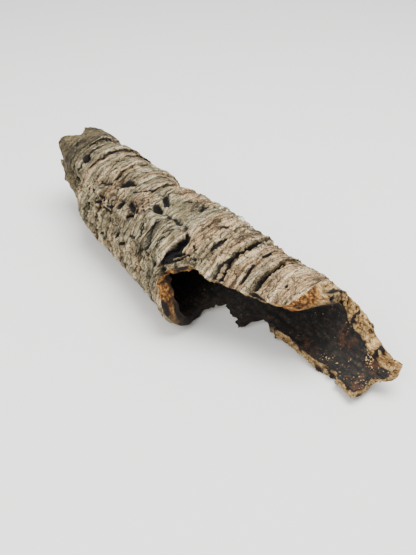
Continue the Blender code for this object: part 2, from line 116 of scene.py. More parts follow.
# relief of the outer face, in mm
reliefPlan = {
    # ring ridges: s of the exposed edge, phi from, phi to, rise, length of the plate behind it
    "ridges": (
        (88, -15, 40, 3.0, 16), (104, -60, 10, 3.2, 18), (128, -40, 50, 3.5, 24), (151, -95, -10, 3.0, 18),
        (151, 5, 70, 3.2, 20), (178, -30, 30, 4.2, 26), (178, -120, -45, 3.5, 26), (205, 10, 80, 3.0, 26),
        (205, -110, -55, 3.2, 22), (236, -12, 30, 4.2, 26), (262, -80, -32, 2.6, 14),
        (277, -86, -26, 2.6, 13),
        (291, -84, -24, 2.6, 12), (304, -80, -22, 2.4, 11), (330, -24, 42, 2.6, 12), (347, -34, 40, 2.6, 15),
        (363, -66, 38, 4.0, 16), (380, -66, 42, 2.2, 13), (394, -64, 40, 3.6, 14),
        (120, 80, 170, 3.2, 20), (146, 95, 200, 3.4, 22), (172, 75, 165, 3.0, 22), (198, 100, 215, 3.6, 24),
        (226, 80, 180, 3.2, 24), (252, 70, 200, 3.4, 24), (280, 60, 150, 3.0, 22), (306, 90, 205, 3.4, 24),
        (322, 62, 120, 3.2, 16), (345, 66, 150, 3.4, 20), (372, 70, 165, 3.2, 24), (398, 70, 150, 3.2, 22),
        (424, 80, 170, 3.0, 22), (450, 95, 175, 3.0, 22), (474, 112, 180, 2.6, 20),
    ),
    # cracks across the tube: s, phi from, phi to, half-width, depth; they are drawn narrower by crackShare,
    # at their real width, which the solid's facets are too wide to show
    "crackShare": 0.65,
    "cracks": (
        (364.5, -66, 12, 2.2, 4.5), (395.5, -54, 8, 2.0, 4.5), (349.5, -24, 4, 1.8, 2.5),
        (341, 4, 20, 1.8, 2.0),
        (180, -26, -12, 3.5, 2.5), (238.5, 2, 40, 2.0, 4.0),
    ),
    # grooves at a slant: s, phi at each end, half-width, depth
    "grooves": (
        (149, -49, 184, -30, 2.8, 2.4), (193, -25, 205, -12, 4.0, 5.5), (188, -64, 206, -61, 2.6, 2.5),
        (223, -35, 235, -38, 4.0, 5.5), (262, -20, 312, -15, 3.4, 2.2), (95, -52, 97, -65, 3.6, 5.0),
        (252, 2, 263, -5, 3.6, 5.5), (299, 14, 294, 28, 2.6, 4.0), (230, -53, 240, -44, 2.2, 3.5),
        (291, -75, 298, -62, 2.6, 4.0), (318, -66, 323, -77, 3.0, 4.0), (324, -52, 331, -41, 2.4, 3.5),
        (88, 30, 106, 44, 3.0, 3.5), (446, 12, 452, 40, 3.0, 3.0),
        (206, 120, 236, 128, 3.4, 4.5), (286, 152, 312, 146, 3.2, 4.5), (132, 140, 160, 150, 3.2, 4.5),
        (380, 118, 404, 126, 3.2, 4.0), (244, -112, 272, -104, 3.0, 4.0), (160, -104, 186, -96, 3.0, 4.0),
    ),
    # round pits and insect holes: s, phi, radius, depth
    "pits": (
        (108, -29, 4.8, 7.0), (118, -22, 3.0, 3.0), (160, -76, 4.0, 4.0), (173, -58, 4.0, 4.0),
        (213, -45, 5.0, 6.5), (262, -18, 5.6, 6.0), (110, -86, 5.0, 4.0), (415, -23, 3.0, 1.8),
        (225, -81, 4.6, 4.0), (152, -1, 4.0, 3.5), (242, -86, 4.0, 3.5), (166, 104, 5.5, 5.0),
        (238, 158, 6.0, 5.5), (330, 108, 5.5, 5.0), (410, 104, 5.0, 4.0), (120, 172, 5.0, 4.5),
    ),
    # broad lumps and hollows: s, phi, half-length, half-width round, height
    "lumps": (
        (56, 30, 26, 24, 7.5), (36, -40, 14, 16, 3.0), (286, 8, 24, 22, -4.5), (262, 34, 26, 18, 4.0),
        (200, 40, 18, 16, 2.5), (218, 52, 12, 18, 1.0), (232, -28, 14, 14, 2.5), (170, -50, 30, 20, 2.0),
        (322, -80, 14, 30, 3.0), (300, 100, 40, 30, 2.5), (150, 120, 40, 30, 2.0), (384, 40, 14, 12, -2.0),
        (330, 42, 22, 14, 2.5), (230, 58, 12, 26, -4.0), (424, 44, 16, 16, 2.5), (300, 44, 18, 14, 2.5),
    ),
    # the large plate over a hollow mouth; its edge bows back by bow towards the front side
    "plate": {
        "start": 244, "edge": 318, "bow": 9, "phi": -44, "halfDeg": 29, "rise": 7.0,
        "mouth": 8.0, "mouthEnd": 333,
    },
    # the outer layer is missing under the far end
    "stub": {"end": 117, "depth": 10.5, "phiFrom": -182, "phiTo": -58},
    # three low places that carry the part: s, phi, half-size, drop
    "feet": ((128, 160, 17, 7.0), (316, -158, 17, 6.5), (455, 168, 17, 5.0)),
    "bellyLift": 1.6,
    # the wall is thicker at the far side of the opening: s, phi, half-length, half-width round, how much
    "thickening": (326, -88, 30, 34, 3.0),
    "overhang": 2.4,
    # where the inner face is split off behind the torn front: s, phi, half-length, half-width round
    "split": (330, -84, 17, 36),
}


# detail finer than the solid's facets, in mm
finePlan = {
    # thin plates stacked along the rings: s and their spacing there
    "spacing": (
        (20, 8.0), (120, 7.0), (215, 6.0), (226, 4.2), (250, 4.2), (260, 6.2), (316, 6.2), (328, 4.6),
        (364, 4.2), (398, 4.4), (402, 6.0), (432, 5.0), (510, 7.0),
    ),
    "plateHeight": 1.0,
    # how strong the thin plates are: s, phi, half-length, half-width round, share of the height
    "plateShare": (
        (237, -29, 15, 14, 1.2), (284, -46, 38, 30, 0.8), (346, 0, 18, 50, 0.8), (382, -16, 16, 60, 0.8),
        (415, -12, 17, 46, 0.25), (284, 8, 17, 15, 0.2), (90, 10, 90, 60, 0.6), (220, -92, 100, 30, 0.5),
    ),
    # crumbly, knobbly skin: s, phi, half-length, half-width round, height
    "crumbly": (
        (250, -94, 90, 26, 1.9), (130, -80, 60, 30, 1.5), (190, -50, 30, 16, 1.4), (262, 28, 34, 12, 1.4),
        (330, 46, 60, 16, 1.4), (404, 42, 40, 16, 1.2), (330, -56, 14, 12, 1.5), (240, 180, 220, 40, 1.3),
        (240, 115, 220, 30, 0.8),
    ),
    "shake": 1.5,
}


# crack lines, holes and pale rims: most of their points were picked by eye on the photo and turned into
# s and phi by a scratch program; each row is a half-width and a depth or rise in mm, then the line
markPlan = {
    # painted shade: the cracks and holes below are also drawn nearly black in the colour
    "dark": (
        (0.6, 3.0, (364, -55), (363, -46), (362, -37), (363, -28), (365, -19), (365, -7), (367, 8),
         (369, 12)),
        (0.8, 2.5, (368, -55), (367, -46), (366, -39)), (0.8, 2.5, (366, 10), (370, 13)),
        (1.5, 5.0, (395, -49), (395, -35), (395, -27)),
        (0.9, 3.5, (395, -27), (395, -19), (397, -3), (396, 6)),
        (2.4, 4.0, (396, -56), (400, -57), (406, -58)), (0.6, 1.5, (349, -21), (349, -15), (350, 2)),
        (0.4, 1.0, (339, 3), (339, 10), (342, 17)),
        (0.7, 2.5, (335, -27), (340, -32), (341, -38), (343, -42)),
        (1.2, 3.5, (324, -52), (324, -49), (329, -45), (331, -41)),
        (1.1, 3.5, (322, -62), (325, -58), (332, -51), (337, -40)),
        (1.4, 4.0, (291, -75), (297, -66), (298, -62)), (1.5, 4.0, (318, -66), (318, -72), (323, -77)),
        (0.8, 2.0, (288, -67), (292, -59), (288, -52), (280, -45), (279, -37), (280, -32)),
        (0.8, 2.0, (269, -61), (267, -51), (263, -43)), (0.9, 3.0, (320, -66), (324, -69)),
        (1.2, 4.0, (299, 14), (294, 22), (294, 30)), (1.0, 3.0, (287, 26), (294, 23)),
        (0.9, 2.5, (273, 11), (274, 16), (279, 20)), (0.9, 2.5, (290, -16), (290, -15)),
        (3.2, 3.0, (252, 2), (259, -2), (263, -5)), (0.7, 1.4, (300, -41), (302, -36), (306, -27)),
        (0.7, 1.4, (303, -55), (302, -49), (305, -41)), (0.8, 2.0, (379, -5), (380, 7)),
        (0.7, 1.5, (382, -50), (382, -41), (380, -22)), (0.8, 2.0, (365, 14), (366, 23)),
        (1.0, 2.5, (414, -23), (416, -23)), (0.9, 2.0, (396, 16), (398, 23), (404, 24)),
        (4.6, 1.5, (105, -29), (111, -29)), (1.2, 3.0, (117, -22), (118, -22)),
        (1.1, 3.0, (87, 14), (88, 18), (94, 20)), (1.5, 4.0, (127, -2), (128, 1)),
        (1.3, 3.0, (121, 10), (127, 10)), (2.0, 3.0, (149, -1), (155, -2)), (0.8, 2.0, (87, -9), (93, 0)),
        (2.0, 2.0, (67, -20), (70, -23)), (3.2, 1.5, (95, -52), (98, -56), (97, -65)),
        (3.0, 2.0, (193, -25), (196, -19), (201, -14)), (1.3, 4.0, (201, -14), (207, -10)),
        (1.1, 3.0, (194, -33), (196, -32)), (1.2, 3.0, (161, -54), (165, -55)),
        (1.5, 4.0, (172, -60), (175, -56)), (0.9, 3.0, (176, -65), (179, -61)),
        (2.4, 2.0, (158, -77), (161, -76)), (4.0, 2.0, (212, -47), (215, -42)),
        (3.0, 2.0, (224, -35), (231, -38), (235, -38)), (1.5, 4.0, (241, -38), (243, -39)),
        (1.0, 4.0, (230, -53), (233, -48), (240, -44)), (5.0, 2.0, (260, -18), (263, -18)),
        (1.0, 2.5, (188, -64), (200, -61), (207, -62)), (2.0, 4.0, (226, -77), (223, -86)),
        (1.0, 3.0, (216, -81), (217, -83)), (1.0, 3.0, (250, -69), (261, -65)),
        (1.2, 4.0, (292, -56), (292, -62), (289, -67)), (1.4, 4.0, (238, -87), (247, -83)),
        (0.8, 2.0, (279, -34), (279, -42), (282, -51), (284, -58)),
        (0.8, 2.0, (263, -42), (262, -51), (269, -56), (268, -64)),
        (0.8, 1.6, (180, -54), (188, -58), (193, -61)), (0.8, 1.6, (189, -50), (198, -55), (204, -57)),
        (0.8, 1.6, (199, -48), (204, -56)), (0.4, 1.2, (228, -28), (241, -34), (247, -38)),
        (0.4, 1.2, (236, -22), (247, -29), (254, -34)), (0.4, 1.2, (242, -17), (252, -23), (259, -28)),
        (1.3, 3.0, (190, -101), (198, -98)), (0.8, 1.5, (162, -22), (168, -12)),
        (0.9, 2.0, (194, 7), (200, 12)), (0.9, 2.0, (216, -21), (222, -15), (231, -9), (236, -3)),
    ),
    # partly painted highlight: the pale rims below also lighten the colour
    "pale": (
        (0.9, 0.8, (330, -17), (330, 2), (331, 11), (334, 14)), (0.8, 0.7, (340, -20), (339, -3), (340, 2)),
        (1.3, 0.9, (338, 10), (340, 17), (344, 22), (349, 24), (356, 21)),
        (0.8, 0.7, (347, -17), (345, 3), (347, 11), (351, 17)), (1.0, 0.8, (359, -54), (356, -40)),
        (1.1, 1.0, (353, -32), (351, -21), (351, -10), (353, 0), (355, 10), (363, 12)),
        (1.5, 0.8, (370, -28), (370, -6), (373, 3)), (1.3, 0.8, (379, -50), (378, -27), (380, -10)),
        (1.1, 1.0, (388, -60), (388, -48), (388, -29), (390, -8)),
        (1.4, 1.0, (310, -63), (313, -56), (316, -46), (318, -37), (318, -21), (322, -15)),
        (0.8, 0.8, (303, -38), (307, -31), (309, -22)), (0.9, 0.8, (278, -42), (279, -33), (287, -26)),
        (0.9, 0.8, (271, -65), (269, -55), (265, -43), (262, -33)), (0.8, 0.7, (304, -57), (302, -40)),
        (0.7, 0.6, (397, -27), (397, -9)), (1.2, 0.8, (404, -17), (406, -9), (408, 5), (410, 18), (414, 23)),
        (1.2, 0.6, (375, -18), (377, -10), (379, 7)), (1.5, 0.5, (372, -27), (372, -9), (373, 2)),
        (1.6, 1.2, (258, 6), (258, 13), (264, 17), (268, 31), (283, 36)),
        (1.2, 1.2, (208, -54), (213, -63), (220, -76)), (1.0, 0.8, (327, -65), (335, -48), (340, -40)),
        (1.1, 1.0, (194, 0), (192, 6), (195, 6)), (1.2, 0.8, (213, -16), (220, -8), (235, 0), (241, 7)),
        (1.2, 0.8, (165, -33), (166, -25), (174, -16), (190, -8), (199, 6)),
        (0.9, 0.8, (246, -67), (252, -54), (260, -42), (267, -32)),
    ),
}


def curveThrough(x, table, column):
    # cubic curve through a table's rows, its slopes taken from the neighbouring rows
    rows = np.array(table, float)
    xs, ys = rows[:, 0], rows[:, column]
    x = np.clip(x, xs[0], xs[-1])
    i = np.clip(np.searchsorted(xs, x) - 1, 0, len(xs) - 2)
    h = xs[i + 1] - xs[i]
    t = (x - xs[i]) / h
    slope = np.gradient(ys, xs)
    start = (2 * t**3 - 3 * t**2 + 1) * ys[i] + (t**3 - 2 * t**2 + t) * h * slope[i]
    return start + (3 * t**2 - 2 * t**3) * ys[i + 1] + (t**3 - t**2) * h * slope[i + 1]


def straightThrough(x, table, column):
    # straight runs through a table's rows
    rows = np.array(table, float)
    return np.interp(x, rows[:, 0], rows[:, column])


def ease(t):
    # 3t^2 - 2t^3, held at 0 and 1
    t = np.clip(t, 0, 1)
    return t * t * (3 - 2 * t)


def angleFrom(phi, centre):
    # signed angle from centre to phi, -180 to 180
    return (phi - centre + 180) % 360 - 180


def spanOf(phi, start, end, fade=9.0):
    # 1 between two angles, eased to 0 outside them
    half = (end - start) / 2
    return ease((half - np.abs(angleFrom(phi, (start + end) / 2))) / fade + 0.5)


def hashCells(cell, order):
    # one number 0..255 for each integer cell
    key = cell & 255
    return order[(order[(order[key[..., 0]] + key[..., 1]) & 255] + key[..., 2]) & 255]


def waves(points, seed):
    # gradient noise: the eight corner slopes of each unit cell blended by 6t^5 - 15t^4 + 10t^3
    rng = np.random.default_rng(seed)
    order = rng.permutation(256)
    slopes = rng.normal(size=(256, 3))
    slopes /= np.linalg.norm(slopes, axis=1)[:, None]
    cell = np.floor(points).astype(int)
    part = points - cell
    fade = part**3 * (part * (part * 6 - 15) + 10)
    total = np.zeros(points.shape[:-1])
    for corner in np.ndindex(2, 2, 2):
        index = hashCells(cell + corner, order)
        weight = np.where(np.array(corner) == 1, fade, 1 - fade).prod(-1)
        total += weight * (slopes[index] * (part - corner)).sum(-1)
    return total * 1.6


def chunks(points, seed):
    # the random height, -1..1, of the nearest of the points scattered one in each unit cell,
    # and how near the border to the second nearest is, 0 on the border
    rng = np.random.default_rng(seed)
    order = rng.permutation(256)
    spots, heights = rng.random((256, 3)), rng.uniform(-1, 1, 256)
    cell = np.floor(points).astype(int)
    nearest = np.full(points.shape[:-1], 9.0)
    second, height = nearest.copy(), np.zeros(points.shape[:-1])
    for step in np.ndindex(3, 3, 3):
        corner = cell + np.array(step) - 1
        index = hashCells(corner, order)
        gap = np.linalg.norm(corner + spots[index] - points, axis=-1)
        closer = gap < nearest
        second = np.where(closer, nearest, np.minimum(second, gap))
        height = np.where(closer, heights[index], height)
        nearest = np.where(closer, gap, nearest)
    return height, second - nearest


def tubeSection(s, phi):
    # radius of the leaning ellipse at s and phi, and its centre
    longAxis, shortAxis = (curveThrough(s, tubeForm["sections"], column) for column in (3, 4))
    turn = np.radians(phi - tubeForm["lean"])
    radius = 1 / np.sqrt((np.cos(turn) / longAxis)**2 + (np.sin(turn) / shortAxis)**2)
    return radius, curveThrough(s, tubeForm["sections"], 1), curveThrough(s, tubeForm["sections"], 2)


def placeOnTube(s, phi, outward):
    # the ellipse's point pushed outward, in mm from the part's origin
    radius, y, z = tubeSection(s, phi)
    reach, angle = radius + outward, np.radians(phi)
    across = y + tubeForm["startY"] + reach * np.sin(angle)
    return np.stack([s + tubeForm["startX"], across, z + reach * np.cos(angle)], -1)


def surfacePlace(points):
    # s and phi of points from their place
    s = points[:, 0] - tubeForm["startX"]
    across = points[:, 1] - tubeForm["startY"] - curveThrough(s, tubeForm["sections"], 1)
    return s, np.degrees(np.arctan2(across, points[:, 2] - curveThrough(s, tubeForm["sections"], 2)))


def acrossFrom(s, phi, s0, phi0):
    # distances along and round the tube from a spot, in mm
    return s - s0, np.radians(angleFrom(phi, phi0)) * tubeSection(s, phi)[0]


def bellAt(s, phi, s0, phi0, length, width, power=4):
    # 1 at a spot, falling off past a half-length along the tube and a half-width round it
    along, around = acrossFrom(s, phi, s0, phi0)
    return np.exp(-(along / length)**power - (around / width)**power)


def sized(points, along, around):
    # points measured in patches that are so many mm long and wide
    return points / np.array([along, around, around])


def ringWave(s, phi):
    # how far the growth rings wander along the tube
    base = placeOnTube(s, phi, 0.0)
    return tubeForm["ringWave"] * waves(base / 38.0, 3) + 1.2 * waves(base / 13.0, 4)


def shaken(s, phi):
    # s and phi moved by two sizes of noise, so that edges and cracks drawn with them come out ragged
    base = placeOnTube(s, phi, 0.0)
    along = waves(base / 6.0, 48) + 0.5 * waves(base / 2.6, 49)
    around = waves(base / 6.0 + 50, 48) + 0.5 * waves(base / 2.6 + 50, 49)
    return s + finePlan["shake"] * along, phi + 1.3 * finePlan["shake"] * around


def ridgeRise(s, phi):
    # overlapping plates: (1 - behind/length)^1.5 up to the edge, then a steep drop
    ring = s - ringWave(s, phi)
    rise = np.zeros_like(ring)
    for edge, start, end, height, length in reliefPlan["ridges"]:
        behind = edge - ring
        slope = np.clip(1 - behind / length, 0, 1)**1.5 * ease(behind / 1.2 + 0.5)
        rise += height * slope * spanOf(phi, start, end, 16)
    return rise


def crackCut(s, phi):
    # steep-sided cuts along the rings and along slanted lines, flat-bottomed round pits
    ring = s - ringWave(s, phi)
    cut = np.zeros_like(ring)
    for middle, start, end, half, depth in reliefPlan["cracks"]:
        across = (ring - middle) / (reliefPlan["crackShare"] * half)
        cut -= depth * np.exp(-np.abs(across)**3) * spanOf(phi, start, end)
    for s0, phi0, s1, phi1, half, depth in reliefPlan["grooves"]:
        cut -= depth * np.exp(-(gapTo(s, phi, ((s0, phi0), (s1, phi1))) / half)**3)
    for s0, phi0, radius, depth in reliefPlan["pits"]:
        along, around = acrossFrom(s, phi, s0, phi0)
        cut -= depth * np.exp(-(np.hypot(along, around) / radius)**4)
    return cut


def lumpRise(s, phi):
    # broad bells
    rise = np.zeros_like(s)
    for s0, phi0, length, width, height in reliefPlan["lumps"]:
        rise += height * bellAt(s, phi, s0, phi0, length, width, 2)
    return rise


def plateEdge(ring, phi):
    # the turn from the large plate's middle, 1 at its sides, and how far behind its curved edge a point is
    form = reliefPlan["plate"]
    offset = angleFrom(phi, form["phi"]) / form["halfDeg"]
    return offset, form["edge"] - form["bow"] * np.clip(-offset, 0, 1)**2 - ring


def plateRise(s, phi):
    # the large plate, lifted towards its curved free edge, and the hollow mouth past it
    form = reliefPlan["plate"]
    ring = s - ringWave(s, phi)
    offset, behind = plateEdge(ring, phi)
    side = ease((1 - np.abs(offset)) * np.where(offset > 0, 1.6, 3))
    lift = form["rise"] * ease((ring - form["start"]) / (form["edge"] - form["start"]))
    mouthSide = ease((0.62 - np.abs(offset - 0.3)) * 3)
    mouth = form["mouth"] * ease((form["mouthEnd"] - ring) / 14)
    over = ease(behind / 2 + 0.5)
    return lift * side * over - mouth * mouthSide * (1 - over)


def stubCut(s, phi):
    # the outer layer is gone from the underside of the far end
    form = reliefPlan["stub"]
    low = spanOf(phi, form["phiFrom"], form["phiTo"], 26)
    return -form["depth"] * low * ease((form["end"] - s + ringWave(s, phi)) / 11 + 0.5)


def feetDrop(s, phi):
    # a lifted belly and three low places on it
    drop = -reliefPlan["bellyLift"] * ease(1.6 - np.abs(angleFrom(phi, 180)) / 34)
    for s0, phi0, size, depth in reliefPlan["feet"]:
        along, around = acrossFrom(s, phi, s0, phi0)
        drop += depth * np.exp(-(np.hypot(along, around) / size)**4)
    return drop


def broadRelief(s, phi):
    # the solid's own relief: plates, cuts, lumps and three sizes of noise
    base = placeOnTube(s, phi, 0.0)
    stretched = sized(base, 11.0, 17.0)
    rough = 1.9 * waves(base / 26.0, 11) + 1.3 * waves(stretched, 12) + 0.7 * waves(base / 7.0, 13)
    calm = 1 - 0.6 * spanOf(phi, -60, 40, 20) * ease((s - 318) / 20)
    sharp = sum(shape(*shaken(s, phi)) for shape in (ridgeRise, crackCut, plateRise))
    soft = sum(shape(s, phi) for shape in (lumpRise, stubCut, feetDrop))
    return sharp + soft + rough * calm - tubeForm["meanRidge"]


def ringPoint(s, phi):
    # points whose x is the ring instead of the place, so that a pattern on them follows the rings
    point = placeOnTube(s, phi, 0.0)
    point[..., 0] = s - ringWave(s, phi)
    return point


def patches(s, phi, table):
    # the height of each bell in a table whose rows are s, phi, half-length, half-width and a height last
    for s0, phi0, length, width, *rest in table:
        yield bellAt(s, phi, s0, phi0, length, width), rest


def thinPlates(s, phi):
    # how many thin plates come before a point (the ring measured in plate spacings, bent by noise),
    # and how strong the plates are there
    rings = ringPoint(s, phi)
    steps = np.arange(0, 541.0)
    turns = np.cumsum(1 / straightThrough(steps, finePlan["spacing"], 1))
    bend = 0.75 * waves(sized(rings, 30, 26), 51) + 0.4 * waves(sized(rings, 9, 12), 52)
    share = np.ones_like(s)
    for inside, (level,) in patches(s, phi, finePlan["plateShare"]):
        share += (level - 1) * inside
    strength = 0.6 + 0.75 * waves(sized(rings, 5.0, 24.0), 53)
    return np.interp(rings[..., 0], steps, turns) + bend, share * np.clip(strength, 0, 1.2)


def gapTo(s, phi, line):
    # the distance in mm from each point to the nearest of a line's pieces
    gap = np.full(s.shape, 99.0)   # farther than any mark reaches
    for (s0, phi0), (s1, phi1) in zip(line, line[1:]):
        along, around = acrossFrom(s, phi, s0, phi0)
        run = np.array([s1 - s0, np.radians(phi1 - phi0) * tubeSection((s0 + s1) / 2, phi0)[0]])
        share = np.clip((along * run[0] + around * run[1]) / (run @ run), 0, 1)
        gap = np.minimum(gap, np.hypot(along - share * run[0], around - share * run[1]))
    return gap


def markLevels(s, phi):
    # how deep the measured cracks and holes cut, how much the pale rims rise, and a mask for each
    base = placeOnTube(s, phi, 0.0)
    s, phi = s + 0.5 * waves(base / 2.6, 49), phi + 0.7 * waves(base / 2.6 + 50, 49)
    levels = {kind: [np.zeros_like(s), np.zeros_like(s)] for kind in markPlan}
    for kind, level in levels.items():
        for half, height, *line in markPlan[kind]:
            gap = gapTo(s, phi, line)
            level[0] = np.maximum(level[0], height * np.exp(-(gap / max(half, 0.9))**4))
            level[1] = np.maximum(level[1], np.exp(-(gap / (half + 0.3))**(4 if kind == "dark" else 2)))
    levels["pale"][1] *= np.clip(0.55 + 0.9 * waves(base / 4.0, 47), 0, 1)
    return levels


def fineRelief(s, phi):
    # thin plates as saw teeth, t^1.3 and a sharp fall, then crumbs, hair cracks and grain
    rings = ringPoint(s, phi)
    count, strength = thinPlates(s, phi)
    tooth = count % 1.0
    rise = finePlan["plateHeight"] * strength * (tooth**1.3 * ease((1 - tooth) / 0.2) - 0.4)
    small, smallGap = chunks(sized(rings, 4.2, 5.2), 54)
    big, bigGap = chunks(sized(rings, 9.0, 11.0), 50)
    for inside, (height,) in patches(s, phi, finePlan["crumbly"]):
        rise += height * inside * (0.6 * small - 0.7 * np.exp(-(smallGap / 0.16)**2))
        rise += height * inside * (0.9 * big - 1.2 * np.exp(-(bigGap / 0.1)**2))
    hair = waves(sized(rings, 6.0, 24.0), 55)
    broken = ease(0.5 + 1.6 * waves(rings / 17.0, 56))
    rise -= 1.3 * np.exp(-(hair / 0.08)**2) * broken
    lengthwise = waves(sized(rings, 12.0, 5.0), 57)
    rise -= 0.7 * np.exp(-(lengthwise / 0.08)**2) * ease(0.15 + 1.6 * waves(rings / 15.0, 58))
    rise += 0.6 * waves(sized(rings, 2.6, 4.0), 59) + 0.35 * waves(rings / 1.9, 60)
    rise *= 1 - 0.8 * spanOf(phi, -60, 30) * ease((s - 398) / 6)
    levels = markLevels(s, phi)
    return rise - levels["dark"][0] + levels["pale"][0]


def lipShift(s, phi):
    # how far the upper side of a plate's edge leans out over the next plate
    s, phi = shaken(s, phi)
    ring = s - ringWave(s, phi)
    lean = np.zeros_like(ring)
    for edge, start, end, height, _ in reliefPlan["ridges"]:
        behind = edge - ring
        lean += height * ease(1 - (behind - 0.4) / 7) * ease(behind / 0.7 + 0.5) * spanOf(phi, start, end, 16)
    offset, behind = plateEdge(ring, phi)
    side = ease((1 - np.abs(offset)) * 3)
    lean += 9.0 * side * ease(1 - (behind - 0.6) / 9) * ease(behind / 1.2 + 0.5)
    return reliefPlan["overhang"] * lean / 4.2


def splitInside(s, phi):
    # 1 where the inner face is split off too, inside the torn front, else 0
    inside = bellAt(s, phi, *reliefPlan["split"])
    return ease(2 * inside + 0.25 * waves(placeOnTube(s, phi, 0.0) / 5.0, 25) - 0.5)


def innerRelief(s, phi):
    # a wall's depth in, with lengthwise streaks and flakes
    base = placeOnTube(s, phi, 0.0)
    wall = tubeForm["wall"] + 1.8 * waves(base / 34.0, 21) + 0.8 * waves(sized(base, 30, 9), 22)
    *spot, thicker = reliefPlan["thickening"]
    wall += thicker * bellAt(s, phi, *spot)
    flakes = 0.9 * np.abs(waves(sized(base, 26.0, 3.6), 23)) + 0.5 * waves(base / 4.0, 24)
    facet, facetGap = chunks(sized(base, 5.0, 9.0), 26)
    flakes += splitInside(s, phi) * (1.6 * facet - 2.4 * np.exp(-(facetGap / 0.12)**2) - 0.8)
    smoothFace = lumpRise(s, phi) + stubCut(s, phi) * 0.5
    return np.minimum(smoothFace - wall + flakes, broadRelief(s, phi) - tubeForm["thinnestWall"])


def rowStations():
    # rows at most rowStep apart, crowded at the key edges, with even counts before and after the opening
    crowd = {edge + side for edge in gridPlan["keyEdges"] for side in gridPlan["edgeRows"]}
    start, end, opening = gridPlan["rowStart"], gridPlan["rowEnd"], tubeForm["seamEnd"]
    fixed = sorted({start, opening, end} | crowd)
    rows = [float(start)]
    for first, last in zip(fixed, fixed[1:]):
        broken = any(low < (first + last) / 2 < high for low, high in gridPlan["breaks"])
        count = int(np.ceil((last - first) / gridPlan["breakStep" if broken else "rowStep"]))
        if last in (opening, end) and (len(rows) - 1 + count) % 2:
            count += 1
        rows += np.linspace(first, last, count + 1)[1:].tolist()
    return np.array(rows), rows.index(opening)


def tornBorder(station, border, seed):
    # s and phi of a border, made ragged where the wall is torn open
    spot = np.stack([station / 9.0, 0 * station, 0 * station], -1)
    open_ = ease((station - tubeForm["seamEnd"]) / 12) * ease((gridPlan["rowEnd"] - station) / 12)
    ragged = tubeForm["jag"] * open_
    s = straightThrough(station, border, 1) + ragged * waves(spot, seed)
    phi = straightThrough(station, border, 2) + 1.6 * ragged * waves(spot + 40, seed)
    crumbs = waves(spot * 3.1 + 80, seed) + 0.7 * waves(spot * 6.5 + 120, seed)
    return s + 0.8 * open_ * waves(spot * 4.3 + 160, seed), phi + 1.5 * open_ * crumbs


def leavingBorder(v, breaking):
    # how far a row has left its border: soon where the tube is broken across, else slowly
    soon, slowly = 1 - np.exp(-(v / gridPlan["breakBand"])**2), ease(v / gridPlan["edgeBand"])
    return breaking * soon + (1 - breaking) * slowly


def heldBack(v):
    # what a row's turn round the tube loses near a border where the tube is broken across
    return gridPlan["breakBand"] * (1 - np.exp(-v / gridPlan["breakBand"])) * (1 - v)**2


def wallGrid(stations, columns, slanted):
    # s and phi of one face of the wall: rows follow the rings, and bend to the torn borders near them
    station, v = stations[:, None], np.linspace(0, 1, columns + 1)[None, :]
    sFrom, phiFrom = tornBorder(station, tubeForm["upperEdge"], 41)
    sTo, phiTo = tornBorder(station, tubeForm["lowerEdge"], 42)
    if slanted:
        sFrom = sFrom + straightThrough(station, tubeForm["slant"], 1)
        blocks = 4.5 * waves(np.stack([station / 7.0, 0 * station, 0 * station + 20], -1), 43)
        phiFrom = phiFrom + straightThrough(station, tubeForm["slant"], 2)
        phiFrom = phiFrom + blocks * ease((station - 437) / 10)
    (firstLow, firstHigh), (secondLow, secondHigh) = gridPlan["breaks"]
    first = ease((station - firstLow) / gridPlan["seamRunIn"] + 1) * ease((firstHigh - station) / 8 + 1)
    second = ease((station - secondLow) / 8 + 1) * ease((secondHigh - station) / 8 + 1)
    turn = v - (first + second) * heldBack(v) + first * heldBack(1 - v)
    phi = phiFrom + (phiTo - phiFrom) * turn
    inside = leavingBorder(v, first + second) * leavingBorder(1 - v, first)
    ring = station + ringWave(station + 0 * v, phi) * ease((station - 60) / 60)
    s = (1 - inside) * (sFrom + (sTo - sFrom) * v) + inside * ring
    far, blend = curveThrough(phi, tubeForm["farRim"], 1), tubeForm["farBlend"]
    start = (s - gridPlan["rowStart"]) / (blend - gridPlan["rowStart"])
    s = np.where(s < blend, far + start * (blend - far), s)
    near, blend = curveThrough(phi, tubeForm["nearRim"], 1), tubeForm["nearBlend"]
    end = (s - blend) / (gridPlan["rowEnd"] - blend)
    return np.where(s > blend, blend + end * (near - blend), s), phi


def numberGrid(shape, openRow, first):
    # vertex numbers of a grid whose last column is its first one up to the row where the seam opens
    index = first + np.arange(shape[0] * shape[1]).reshape(shape)
    index[:openRow + 1, -1] = index[:openRow + 1, 0]
    return index


def gridQuads(index):
    # the four corners of each cell of a grid of vertex numbers, in turn
    a, b, c, d = index[:-1, :-1], index[1:, :-1], index[1:, 1:], index[:-1, 1:]
    return np.stack([a, b, c, d], -1).reshape(-1, 4)


def openingRing(index, openRow):
    # vertex numbers round the torn opening: out along one border, over the tip and back
    return np.concatenate([index[openRow:-1, 0], index[-1], index[-2:openRow:-1, -1]])


def blurred(values, rows, columns):
    # running mean over a window of rows and columns
    for size, axis in ((rows, 0), (columns, 1)):
        padded = np.concatenate([np.repeat(np.take(values, [0], axis), size, axis), values,
                                 np.repeat(np.take(values, [-1], axis), size, axis)], axis)
        total = np.cumsum(padded, axis)
        total = np.concatenate([np.zeros_like(np.take(total, [0], axis)), total], axis)
        count, window = values.shape[axis], 2 * size + 1
        upper = np.take(total, np.arange(count) + window, axis)
        values = (upper - np.take(total, np.arange(count), axis)) / window
    return values


# the broken faces of the wall: crumbs in mm, and how many rows of points cross the break
tornPlan = {
    "rings": 8, "bigChunk": 6.5, "bigStep": 1.5, "smallChunk": 3.0, "smallStep": 0.7, "grain": 0.5,
    # the back rim is broken into blocks: their size and rise, and the gaps between them: s, half-width
    "blockMm": 14.0, "blockRise": 5.0, "gaps": ((442, 3.0), (460, 2.2), (490, 2.4)), "gapDepth": 7.0,
    "gapSpan": (20, 130), "gapBend": 0.8,
}


